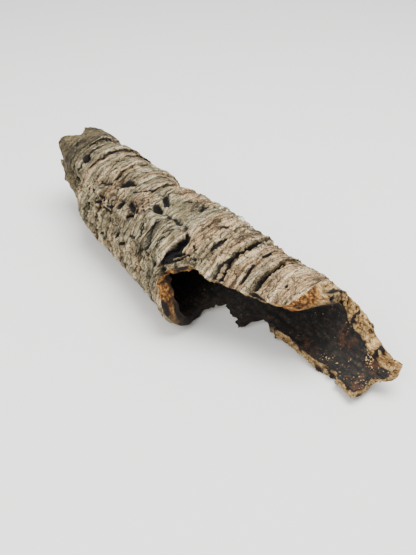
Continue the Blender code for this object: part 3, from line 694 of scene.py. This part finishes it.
def rimGaps(points, s, phi):
    # each gap between the blocks of the back rim, 1 in its middle, its sides bent by noise
    bent = s + tornPlan["gapBend"] * waves(points / 6.0, 66)
    for s0, half in tornPlan["gaps"]:
        yield spanOf(phi, *tornPlan["gapSpan"]) * np.exp(-((bent - s0) / half)**4)


def breakFace(outer, inner, seed):
    # rows of points from the outer border to the inner one, stepped like crumbled cork
    inner = np.repeat(inner, 2, axis=0)
    inner[1::2] = (inner[1::2] + np.roll(inner, -2, axis=0)[1::2]) / 2
    share = (np.arange(1, tornPlan["rings"] + 1) / (tornPlan["rings"] + 1))[:, None, None]
    face = outer * (1 - share) + inner * share
    tangent = np.roll(face, -2, axis=1) - np.roll(face, 2, axis=1)
    normal = np.cross(tangent, np.broadcast_to(inner - outer, face.shape))
    normal /= np.linalg.norm(normal, axis=-1)[..., None] + 1e-9
    big, bigGap = chunks(face / tornPlan["bigChunk"], seed)
    small, smallGap = chunks(face / tornPlan["smallChunk"], seed + 1)
    step = tornPlan["bigStep"] * (big - 0.6 * np.exp(-(bigGap / 0.12)**2))
    step += tornPlan["smallStep"] * (small - 0.5 * np.exp(-(smallGap / 0.15)**2))
    step += tornPlan["grain"] * waves(face / 1.8, seed + 2)
    s, phi = (value.reshape(face.shape[:2]) for value in surfacePlace(face.reshape(-1, 3)))
    block, blockGap = chunks(face / tornPlan["blockMm"], seed + 3)
    atBack = ease((s - 438) / 8) * spanOf(phi, 0, 118)
    step += atBack * tornPlan["blockRise"] * (0.5 + 0.6 * block - 0.9 * np.exp(-(blockGap / 0.1)**2))
    for gap in rimGaps(face, s, phi):
        step -= tornPlan["gapDepth"] * gap
    hold = np.sin(np.pi * share) ** 0.5
    return face + normal * (step[..., None] * hold), np.broadcast_to(share[..., 0], face.shape[:2])


def buildBark():
    stations, openRow = rowStations()
    columns = gridPlan["columns"]
    s, phi = wallGrid(stations, columns, False)
    innerS, innerPhi = wallGrid(stations[::2], columns // 2, True)
    broad, fine = broadRelief(s, phi), fineRelief(s, phi)
    fromEdge = np.minimum(np.arange(columns + 1), columns - np.arange(columns + 1))[None, :]
    fade = np.where(stations[:, None] > tubeForm["seamEnd"], ease(fromEdge / gridPlan["stillColumns"]), 1)
    outerPoints = placeOnTube(s, phi, broad + fine - gridPlan["sunkMm"])
    outerPoints[..., 0] += lipShift(s, phi) * fade
    innerPoints = placeOnTube(innerS, innerPhi, innerRelief(innerS, innerPhi))
    outerIndex = numberGrid(s.shape, openRow, 0)
    innerIndex = numberGrid(innerS.shape, openRow // 2, s.size)
    points = [outerPoints.reshape(-1, 3), innerPoints.reshape(-1, 3)]
    place = np.concatenate([points[0], points[1]])
    quads, fans = [gridQuads(outerIndex), gridQuads(innerIndex)[:, ::-1]], []
    split = splitInside(innerS[:-1, :-1], innerPhi[:-1, :-1]).ravel() > 0.5
    slots = [np.zeros(len(quads[0]), int), np.where(split, 1, 2)]
    depth = [np.zeros(s.size), np.ones(innerS.size)]
    count = s.size + innerS.size
    rings = ((outerIndex[0, :-1], innerIndex[0, :-1], 61),
             (openingRing(outerIndex, openRow), openingRing(innerIndex, openRow // 2), 64))
    for outer, inner, seed in rings:
        face, share = breakFace(place[outer], place[inner], seed)
        rows = np.concatenate([outer[None, :], count + np.arange(face[..., 0].size).reshape(face.shape[:2])])
        count += face[..., 0].size
        points.append(face.reshape(-1, 3))
        depth.append(share.reshape(-1))
        ahead = np.roll(rows, -1, axis=1)
        quads.append(np.stack([rows[:-1], ahead[:-1], ahead[1:], rows[1:]], -1).reshape(-1, 4))
        slots.append(np.ones(len(quads[-1]), int))
        a, b, c = rows[-1, ::2], rows[-1, 1::2], np.roll(rows[-1], -2)[::2]
        d, e = inner, np.roll(inner, -1)
        fans += [np.stack(corner, -1) for corner in ((a, b, d), (b, e, d), (b, c, e))]
    points, depth = np.concatenate(points), np.concatenate(depth)
    quads, fans = np.concatenate(quads), np.concatenate(fans)
    slots = np.concatenate(slots + [np.ones(len(fans), int)])
    return points, depth, quads, fans, slots, (s, phi, broad + fine, outerIndex), (innerS, innerPhi)


def addValues(mesh, name, values):
    # one number or one vector for each vertex, under a name that the materials read
    kind = "FLOAT_VECTOR" if values.ndim == 2 else "FLOAT"
    attribute = mesh.attributes.new(name, kind, "POINT")
    attribute.data.foreach_set("vector" if values.ndim == 2 else "value", values.astype(np.float32).ravel())


def linearColour(code):
    # sRGB hex to linear light
    part = np.array([int(code[i:i + 2], 16) for i in (0, 2, 4)]) / 255
    linear = np.where(part <= 0.04045, part / 12.92, ((part + 0.055) / 1.055)**2.4)
    return (*map(float, linear), 1.0)


def addNode(tree, kind, settings=None, sockets=None, stops=None):
    # one shader node: its own settings, then what goes into its sockets (a number, a hex colour, or
    # another node, whose first output is linked) and, for a ramp, its colour stops
    node = tree.nodes.new("ShaderNode" + kind)
    for key, value in (settings or {}).items():
        setattr(node, key, value)
    for key, value in (sockets or {}).items():
        if isinstance(value, bpy.types.Node):
            value = value.outputs[0]
        if isinstance(value, bpy.types.NodeSocket):
            tree.links.new(value, node.inputs[key])
        else:
            node.inputs[key].default_value = linearColour(value) if isinstance(value, str) else value
    for i, (position, code) in enumerate(stops or ()):
        stop = node.color_ramp.elements[i] if i < 2 else node.color_ramp.elements.new(position)
        stop.position, stop.color = position, linearColour(code)
    return node


# weathered cork: cut by nothing but rain and sun, so it is matt all over, grey-green where the outer
# layer is old, pinkish tan where a plate has flaked off, and painted nearly black as shade down in the cracks
# and hollows
skinLook = {
    "coolDark": "514832", "coolMid": "AFA27C", "coolPale": "EEE2BA",
    "warmDark": "6E5236", "warmMid": "D2B184", "warmPale": "FFE8BC", "dull": "A9A193",
    # partly painted highlight: the pale tan below lightens raised points and plate edges
    "creviceShade": "0A0806", "paleAndHighlight": "F2DDB4", "lichen": "C4CFC0",
    "bandMm": 5.2, "bandRoundMm": 55, "lineMm": 1.7, "lineRoundMm": 20,
    "crackMm": 10, "crackRoundMm": 30, "patchMm": 17, "poreMm": 3.4, "poreRoundMm": 5.5,
    "grainMm": 1.3,   # the real cells are 0.04 mm wide; drawn this coarse to show at all
    "roughness": 0.93, "ior": 1.45, "bump": 0.85, "bumpMm": 1.1,
}
# torn cork: fresh breaks are orange-brown crumbs, older ones faded to tan, with painted shade in the gaps
# between
tornLook = {
    "freshDark": "2A1505", "freshMid": "7C4C17", "freshPale": "D29E52",
    # dark brown, partly painted shade on the underside of the breaks
    "oldDark": "4A361D", "oldMid": "C39C62", "oldPale": "FFE3AC", "brownAndShade": "1B120C",
    "gap": "0F0A06", "crumbMm": 2.6, "strandMm": 6.5, "grainMm": 1.1, "roughness": 0.95, "ior": 1.45,
    "bump": 0.8, "bumpMm": 1.2,
}
# the inner face: the bark's living side, dried dark and drawn nearly black, partly as painted shade of the
# hollow, crusted and flaking, with reddish-brown patches and tan crumbs fallen from the breaks
innerLook = {
    "dark": "0D0B09", "mid": "221D18", "pale": "453A2E", "rust": "472C19", "fleck": "B8966A",
    "crustMm": 5.5, "streakMm": 4.5, "streakLongMm": 15, "fleckMm": 1.9, "roughness": 0.88, "ior": 1.45,
    "bump": 0.8, "bumpMm": 1.2,
}


def startMaterial(name, look):
    # a material that isn't a metal, as rough as its look says
    material = bpy.data.materials.new(name)
    material.use_nodes = True
    tree = material.node_tree
    shader = tree.nodes["Principled BSDF"]
    shader.inputs["Roughness"].default_value = look["roughness"]
    shader.inputs["IOR"].default_value = look["ior"]
    shader.inputs["Metallic"].default_value = 0.0
    return material, tree, shader


def pattern(tree, place, along, round_, detail, roughness):
    # noise so many mm long and wide: 1 / size in m stretches the place first
    size = (1 / (along * mm), 1 / (round_ * mm), 1 / (round_ * mm))
    stretched = addNode(tree, "Mapping", {}, {"Vector": place, "Scale": size})
    sockets = {"Vector": stretched, "Scale": 1.0, "Detail": detail, "Roughness": roughness}
    return addNode(tree, "TexNoise", {}, sockets)


def layersOver(tree, colour, layers):
    # one layer after another over a colour: how it is mixed, how much of it, and what it is, which is
    # a colour, or a noise and the colour stops to draw it with
    for blend, share, over, *stops in layers:
        if stops:
            over = addNode(tree, "ValToRGB", {}, {"Fac": over}, stops[0])
        sockets = {"Fac": share, "Color1": colour, "Color2": over}
        colour = addNode(tree, "MixRGB", {"blend_type": blend}, sockets)
    return colour


def finishMaterial(tree, shader, look, colour, height):
    # the colour, and a bump from the height
    sockets = {"Strength": look["bump"], "Distance": look["bumpMm"] * mm, "Height": height}
    bump = addNode(tree, "Bump", {}, sockets)
    tree.links.new(colour.outputs[0], shader.inputs["Base Color"])
    tree.links.new(bump.outputs[0], shader.inputs["Normal"])


def maskOn(tree, name, grain, low, high, ragged=0.6):
    # a mask kept at the points, its border made crisp and ragged: mask + ragged * (noise - 0.5), ramped
    mask = addNode(tree, "Attribute", {"attribute_name": name}).outputs["Fac"]
    rough = addNode(tree, "Math", {"operation": "MULTIPLY_ADD"}, {0: grain, 1: ragged, 2: mask})
    low, high = low + ragged / 2, high + ragged / 2
    return addNode(tree, "MapRange", {}, {"Value": rough, "From Min": low, "From Max": high})


def weatheredCork():
    look = skinLook
    material, tree, shader = startMaterial("weathered_cork", look)
    rings = addNode(tree, "Attribute", {"attribute_name": "ringPoint"}).outputs["Vector"]
    place = addNode(tree, "TexCoord").outputs["Object"]
    grain = pattern(tree, place, look["grainMm"], look["grainMm"], 3.0, 0.7)
    band = pattern(tree, rings, look["bandMm"], look["bandRoundMm"], 4.0, 0.62)
    line = pattern(tree, rings, look["lineMm"], look["lineRoundMm"], 3.0, 0.6)
    patch = pattern(tree, place, look["patchMm"], look["patchMm"], 2.0, 0.6)
    pore = pattern(tree, rings, look["poreMm"], look["poreRoundMm"], 1.0, 0.6)
    # the base is two families of tones in bands along the rings
    tones = []
    for family in ("cool", "warm"):
        stops = [(at, look[family + tone]) for at, tone in ((0.32, "Dark"), (0.48, "Mid"), (0.66, "Pale"))]
        tones.append(addNode(tree, "ValToRGB", {}, {"Fac": band}, stops))
    # the edges of the plates and raised points are paler than their backs: partly worn rims, partly painted
    # highlight
    paleAndHighlight = maskOn(tree, "paleAndHighlight", line, 0.2, 0.9)
    paleAndHighlight = addNode(tree, "Math", {"operation": "MULTIPLY"}, {0: paleAndHighlight, 1: 0.75})
    # a thin plate is painted with shade where it starts from under the last, and pale towards its own edge
    count = addNode(tree, "Attribute", {"attribute_name": "plateCount"}).outputs["Fac"]
    strength = addNode(tree, "Attribute", {"attribute_name": "plateShare"}).outputs["Fac"]
    bent = addNode(tree, "Math", {"operation": "MULTIPLY_ADD"}, {0: line, 1: 0.35, 2: count})
    tooth = addNode(tree, "Math", {"operation": "FRACT"}, {0: bent})
    # hair cracks are the thin borders between the two halves of a noise
    crack = pattern(tree, rings, look["crackMm"], look["crackRoundMm"], 4.0, 0.55)
    away = addNode(tree, "Math", {"operation": "SUBTRACT"}, {0: crack, 1: 0.5})
    away = addNode(tree, "Math", {"operation": "ABSOLUTE"}, {0: away})
    colour = layersOver(tree, tones[0], (
        ("MIX", maskOn(tree, "warmth", line, 0.2, 0.8), tones[1]),
        ("MULTIPLY", 0.8, patch, ((0.34, "8F8A80"), (0.56, "FFFFFF"))),
        ("MULTIPLY", maskOn(tree, "dull", band, 0.2, 0.9), look["dull"]),
        ("MIX", paleAndHighlight, look["paleAndHighlight"]),
        ("MULTIPLY", strength, tooth, ((0.0, "1A150F"), (0.09, "746E64"), (0.3, "D8D4CE"), (0.8, "FFFFFF"))),
        ("MULTIPLY", 0.65, line, ((0.38, "3E382F"), (0.47, "DCD8D2"), (0.55, "FFFFFF"))),
        ("MULTIPLY", 0.8, pore, ((0.24, "2A231B"), (0.34, "FFFFFF"))),
        ("MULTIPLY", 0.8, grain, ((0.4, "4E483F"), (0.55, "FFFFFF"))),
        ("MULTIPLY", 0.8, away, ((0.006, "120E0A"), (0.026, "FFFFFF"))),
        # painted shade: hollows, cracks, holes and the gaps under plate edges drawn nearly black
        ("MIX", maskOn(tree, "creviceShade", grain, 0.3, 0.72), look["creviceShade"]),
        ("MIX", maskOn(tree, "lichen", grain, 0.35, 0.6), look["lichen"]),
    ))
    height = addNode(tree, "Math", {"operation": "MULTIPLY_ADD"}, {0: tooth, 1: strength, 2: line})
    height = addNode(tree, "Math", {"operation": "ADD"}, {0: height, 1: grain})
    finishMaterial(tree, shader, look, colour, height)
    return material


def tornCork():
    look = tornLook
    material, tree, shader = startMaterial("torn_cork", look)
    place = addNode(tree, "TexCoord").outputs["Object"]
    grain = pattern(tree, place, look["grainMm"], look["grainMm"], 3.0, 0.7)
    crumb = pattern(tree, place, look["strandMm"], look["crumbMm"], 3.0, 0.6)
    tones = []
    for family in ("old", "fresh"):
        stops = [(at, look[family + tone]) for at, tone in ((0.34, "Dark"), (0.5, "Mid"), (0.66, "Pale"))]
        tones.append(addNode(tree, "ValToRGB", {}, {"Fac": crumb}, stops))
    colour = layersOver(tree, tones[0], (
        ("MIX", maskOn(tree, "fresh", crumb, 0.3, 0.7), tones[1]),
        ("MULTIPLY", 0.75, grain, ((0.34, "4A4036"), (0.56, "FFFFFF"))),
        # dark brown, partly painted shade on the underside of the breaks
        ("MIX", maskOn(tree, "brownAndShade", crumb, 0.2, 0.8), look["brownAndShade"]),
        # painted shade in the gaps between the crumbs and between the back rim's blocks
        ("MIX", maskOn(tree, "creviceShade", grain, 0.3, 0.7), look["gap"]),
    ))
    height = addNode(tree, "Math", {"operation": "ADD"}, {0: crumb, 1: grain})
    finishMaterial(tree, shader, look, colour, height)
    return material


def agedInnerFace():
    look = innerLook
    material, tree, shader = startMaterial("dried_inner_bark", look)
    place = addNode(tree, "TexCoord").outputs["Object"]
    crust = pattern(tree, place, look["crustMm"], look["crustMm"], 5.0, 0.68)
    streak = pattern(tree, place, look["streakLongMm"], look["streakMm"], 4.0, 0.6)
    spot = pattern(tree, place, look["fleckMm"], look["fleckMm"], 2.0, 0.6)
    both = addNode(tree, "Math", {"operation": "MULTIPLY"}, {0: crust, 1: 0.6})
    both = addNode(tree, "Math", {"operation": "MULTIPLY_ADD"}, {0: streak, 1: 0.4, 2: both})
    # nearly black: dried bark, partly painted shade of the hollow
    stops = ((0.40, look["dark"]), (0.52, look["mid"]), (0.66, look["pale"]))
    colour = layersOver(tree, addNode(tree, "ValToRGB", {}, {"Fac": both}, stops), (
        ("MIX", maskOn(tree, "fresh", crust, 0.5, 0.75, 2.4), look["rust"]),
        ("MIX", maskOn(tree, "paleAndHighlight", spot, 0.6, 0.8, 3.2), look["fleck"]),
        ("MULTIPLY", 0.5, spot, ((0.36, "55504A"), (0.6, "FFFFFF"))),
    ))
    height = addNode(tree, "Math", {"operation": "ADD"}, {0: crust, 1: spot})
    finishMaterial(tree, shader, look, colour, height)
    return material


# where the colour changes: s, phi, half-length, half-width, then for the skin how pinkish tan it is, how
# much lichen grows or how dull it is, for the breaks how orange and how dark brown they are, partly as
# painted shade, and for the inner face how rusty and how crumbly it is
tonePlan = {
    "warm": (
        (415, -10, 22, 60, 0.7), (376, -10, 9, 50, 0.75), (330, 0, 12, 30, 0.6), (290, -44, 34, 28, -0.25),
        (262, 34, 26, 14, 0.8), (240, -26, 16, 14, 0.5), (440, 100, 60, 30, 0.7), (180, -30, 40, 20, 0.1),
        (284, 6, 18, 18, -0.5), (70, -10, 34, 60, -0.5),
    ),
    "lichen": ((326, 42, 22, 9, 0.9), (292, 44, 10, 6, 0.5), (118, -12, 8, 8, 0.35), (420, 46, 16, 7, 0.6),
               (150, 60, 10, 10, 0.5)),
    "dull": ((64, -40, 44, 90, 0.9), (284, 8, 16, 17, 0.8), (228, -30, 17, 13, 0.8)),
    "torn": (
        (60, 0, 60, 400, 0.2, 0.3), (322, -92, 24, 46, 1.0, 0.1), (328, 205, 20, 46, 0.4, 0.8),
        (360, 178, 40, 34, 0.0, 0.85), (384, -54, 42, 14, 0.0, 0.55), (430, -14, 13, 34, 1.0, 0.0),
        (436, 22, 10, 14, 0.1, 0.3), (466, 78, 27, 34, 0.35, 0.0), (503, 110, 12, 24, 0.4, 0.1),
        (455, 190, 58, 26, 0.3, 0.4),
    ),
    "inner": (
        (330, -90, 14, 60, 0.8, 0.0), (338, 200, 18, 40, 0.3, 0.0), (470, 120, 26, 18, 0.45, 0.2),
        (497, 150, 16, 60, 0.3, 0.2), (460, 180, 50, 12, 0.2, 0.15), (440, 60, 30, 20, 0.2, 0.0),
    ),
}


def edgeMasks(s, phi):
    # a pale rim 1 mm behind each plate edge, partly painted highlight, and a painted shadow 1 mm past it
    # under the edge, both broken up along it
    s, phi = shaken(s, phi)
    rings = ringPoint(s, phi)
    ring, rim, gap = rings[..., 0], np.zeros_like(s), np.zeros_like(s)
    broken = np.clip(0.75 + 0.9 * waves(sized(rings, 30.0, 9.0), 74), 0, 1)
    for edge, start, end, height, _ in reliefPlan["ridges"]:
        behind, inSpan = edge - ring, spanOf(phi, start, end, 16)
        level = np.clip((height - 1.4) / 2.0, 0, 1)
        rim = np.maximum(rim, level * inSpan * np.exp(-((behind - 1.0) / 0.8)**2))
        gap = np.maximum(gap, level * inSpan * np.exp(-((behind + 1.0) / 0.9)**2))
    measured = spanOf(phi, -90, 45, 20) * ease((s - 140) / 60)
    rim, gap = (mask * (1 - 0.75 * measured) for mask in (rim, gap))
    offset, behind = plateEdge(ring, phi)
    side = ease((1 - np.abs(offset)) * 3)
    # the large plate: a pale rim on its edge, partly painted highlight, and painted shadow over the hollow
    # mouth under it
    rim = np.maximum(rim, 1.6 * side * np.exp(-((behind - 1.6) / 1.6)**2))
    gap = np.maximum(gap, 1.3 * side * ease(-behind / 2 + 0.5) * ease((12 + behind) / 4))
    return rim * broken, gap * np.clip(broken + 0.2, 0, 1)


def skinValues(s, phi, height):
    # masks for the materials, from how high each point lies over its surroundings and from named patches
    low = blurred(height, 4, 3) - height
    wide = blurred(height, 12, 8) - height
    rim, gap = edgeMasks(s, phi)
    # painted shade: points lower than their surroundings, the measured cracks and holes and the gaps under
    # plate edges are darkened
    creviceShade = np.clip(low / 1.5, 0, 1) * 0.48 + np.clip((wide - 1.2) / 4.0, 0, 1) * 0.65
    levels = markLevels(s, phi)
    rim, gap = np.maximum(rim, 0.8 * levels["pale"][1]), np.maximum(gap, 1.2 * levels["dark"][1])
    # painted highlight on points higher than their surroundings, together with the pale rims
    paleAndHighlight = np.clip(-low / 1.5, 0, 1) * 0.3 + 0.7 * rim
    rings = ringPoint(s, phi)
    warmth = 0.35 + 0.5 * waves(sized(rings, 16.0, 40.0), 71)
    for inside, (strength,) in patches(s, phi, tonePlan["warm"]):
        warmth += strength * inside
    lichen, dull = (sum(strength * inside for inside, (strength,) in patches(s, phi, tonePlan[name]))
                    for name in ("lichen", "dull"))
    lichen = lichen * ease(0.4 + 1.8 * waves(rings / 5.0, 72))
    count, share = thinPlates(s, phi)
    return {"creviceShade": np.maximum(creviceShade, gap), "paleAndHighlight": paleAndHighlight * (1 - np.clip(gap, 0, 1)), "lichen": lichen,
            "dull": dull, "warmth": warmth, "plateCount": count, "plateShare": np.clip(0.8 * share, 0, 1)}


def breakValues(points, share):
    # the torn faces' masks: orange and dark brown by place, partly painted shade on the underside, and
    # painted shade in the gaps between the crumbs
    s, phi = surfacePlace(points)
    fresh, brownAndShade = np.full(len(s), 0.4), 0.25 * share
    for inside, (newFresh, newSoot) in patches(s, phi, tonePlan["torn"]):
        fresh, brownAndShade = fresh + inside * (newFresh - fresh), brownAndShade + inside * (newSoot - brownAndShade)
    # painted shade: the breaks on the underside are darkened in patches
    brownAndShade += 0.9 * np.clip(waves(points / 8.0, 67), 0, 1) * spanOf(phi, 130, 250)
    _, crumbGap = chunks(points / tornPlan["smallChunk"], 62)
    # painted shade in the gaps between the crumbs and between the back rim's blocks
    creviceShade = 0.6 * np.exp(-(crumbGap / 0.1)**2)
    for gap in rimGaps(points, s, phi):
        creviceShade = np.maximum(creviceShade, 1.2 * gap)
    brownAndShade += 0.7 * ease((share - 0.35) * 2) * spanOf(phi, -180, -60) * ease((360 - s) / 10)
    split = splitInside(s, phi)
    brownAndShade = (brownAndShade + 0.6 * ease((share - 0.8) / 0.2)) * (1 - 0.8 * split * ease((share - 0.3) / 0.3))
    brownAndShade += split * (0.25 + 0.9 * waves(sized(points, 16.0, 7.0), 68))
    return fresh, brownAndShade, creviceShade


def innerValues(points):
    # the inner face's masks: rust patches and tan crumbs by place
    s, phi = surfacePlace(points)
    rust, crumbs = 0.1 + 0.5 * waves(points / 22.0, 75), -0.1 + 0.35 * waves(points / 16.0, 76)
    for inside, (moreRust, moreCrumbs) in patches(s, phi, tonePlan["inner"]):
        rust, crumbs = rust + moreRust * inside, crumbs + moreCrumbs * inside
    return {"fresh": np.maximum(rust, splitInside(s, phi)), "paleAndHighlight": crumbs}


def makeBark():
    points, depth, quads, fans, slots, (s, phi, height, outerIndex), inner = buildBark()
    low, high = (np.array(corner) / mm for corner in cadBox)
    points = np.clip(points, low, high)
    used, quadIndex = np.unique(np.concatenate([quads.ravel(), fans.ravel()]), return_inverse=True)
    faces = quadIndex[:quads.size].reshape(-1, 4).tolist() + quadIndex[quads.size:].reshape(-1, 3).tolist()
    mesh = bpy.data.meshes.new("corkBark")
    mesh.from_pydata((points[used] * mm).tolist(), [], faces)
    mesh.polygons.foreach_set("material_index", slots)
    names = ("creviceShade", "paleAndHighlight", "warmth", "lichen", "dull", "fresh", "brownAndShade", "plateCount", "plateShare")
    values = {name: np.zeros(len(points)) for name in names}
    torn, inside = depth > 0, depth == 1
    for name, numbers in skinValues(s, phi, height).items():
        values[name][:s.size] = numbers.ravel()
    fresh, brownAndShade, crumbGap = breakValues(points, depth)
    values["fresh"], values["brownAndShade"], values["creviceShade"][torn] = fresh, brownAndShade, crumbGap[torn]
    for name, numbers in innerValues(points[inside]).items():
        values[name][inside] = numbers
    rings = points.copy()
    rings[:s.size] = ringPoint(s, phi).reshape(-1, 3)
    addValues(mesh, "ringPoint", rings[used] * mm)
    for name, numbers in values.items():
        addValues(mesh, name, numbers[used])
    form = bmesh.new()
    form.from_mesh(mesh)
    bmesh.ops.recalc_face_normals(form, faces=form.faces)
    form.to_mesh(mesh)
    form.free()
    mesh.shade_smooth()
    mesh.set_sharp_from_angle(angle=np.radians(gridPlan["sharpDeg"]))
    for material in (weatheredCork(), tornCork(), agedInnerFace()):
        mesh.materials.append(material)
    bark = bpy.data.objects.new("cork_bark_skin", mesh)
    bpy.context.collection.objects.link(bark)
    print("bark:", len(used), "points,", sum(len(face) - 2 for face in faces), "triangles")
    return bark


bark = makeBark()
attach(bark, "root")
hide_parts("bark")
print("bark: materials on")

# the viewing angle: from above and from the torn end, a 50 mm lens on a 36 mm frame height
cameraPlan = {"at": (0.5405, -0.3726, 0.4564), "towards": (0.0777, -0.0233, 0.0612), "lens": 50.0,
              "sensorMm": 36.0, "clip": (0.01, 20.0)}


def makeCamera():
    camera = bpy.data.objects.new("camera", bpy.data.cameras.new("camera"))
    camera.data.lens = cameraPlan["lens"]
    camera.data.sensor_width = cameraPlan["sensorMm"]
    camera.data.clip_start, camera.data.clip_end = cameraPlan["clip"]
    camera.location = cameraPlan["at"]
    aim = Vector(cameraPlan["towards"]) - Vector(cameraPlan["at"])
    camera.rotation_euler = aim.to_track_quat("-Z", "Y").to_euler()
    bpy.context.collection.objects.link(camera)
    bpy.context.scene.camera = camera


studioPlan = {
    "floorSize": 8.0, "floor": "F4F4F2", "floorRoughness": 0.9, "sky": "FFFFFF", "skyStrength": 0.95,
    "key": {"at": (0.15, 0.25, 1.5), "size": 1.1, "watts": 40.0},
    "fill": {"at": (0.4, -1.2, 1.1), "size": 1.0, "watts": 15.0},
}


def makeStudio():
    half = studioPlan["floorSize"] / 2
    mesh = bpy.data.meshes.new("floor")
    corners = [(-half, -half, 0), (half, -half, 0), (half, half, 0), (-half, half, 0)]
    mesh.from_pydata(corners, [], [(0, 1, 2, 3)])
    material = bpy.data.materials.new("painted_floor")
    material.use_nodes = True
    shader = material.node_tree.nodes["Principled BSDF"]
    shader.inputs["Base Color"].default_value = linearColour(studioPlan["floor"])
    shader.inputs["Roughness"].default_value = studioPlan["floorRoughness"]
    mesh.materials.append(material)
    floor = bpy.data.objects.new("floor", mesh)
    bpy.context.collection.objects.link(floor)
    world = bpy.data.worlds.new("studio")
    world.use_nodes = True
    backdrop = world.node_tree.nodes["Background"]
    backdrop.inputs["Color"].default_value = linearColour(studioPlan["sky"])
    backdrop.inputs["Strength"].default_value = studioPlan["skyStrength"]
    bpy.context.scene.world = world
    for name in ("key", "fill"):
        form = studioPlan[name]
        light = bpy.data.lights.new(name, "AREA")
        light.shape, light.size, light.energy = "SQUARE", form["size"], form["watts"]
        lamp = bpy.data.objects.new(name, light)
        lamp.location = form["at"]
        lamp.rotation_euler = (-Vector(form["at"])).to_track_quat("-Z", "Y").to_euler()
        bpy.context.collection.objects.link(lamp)


makeCamera()
makeStudio()
print("studio: camera, floor and lights set")
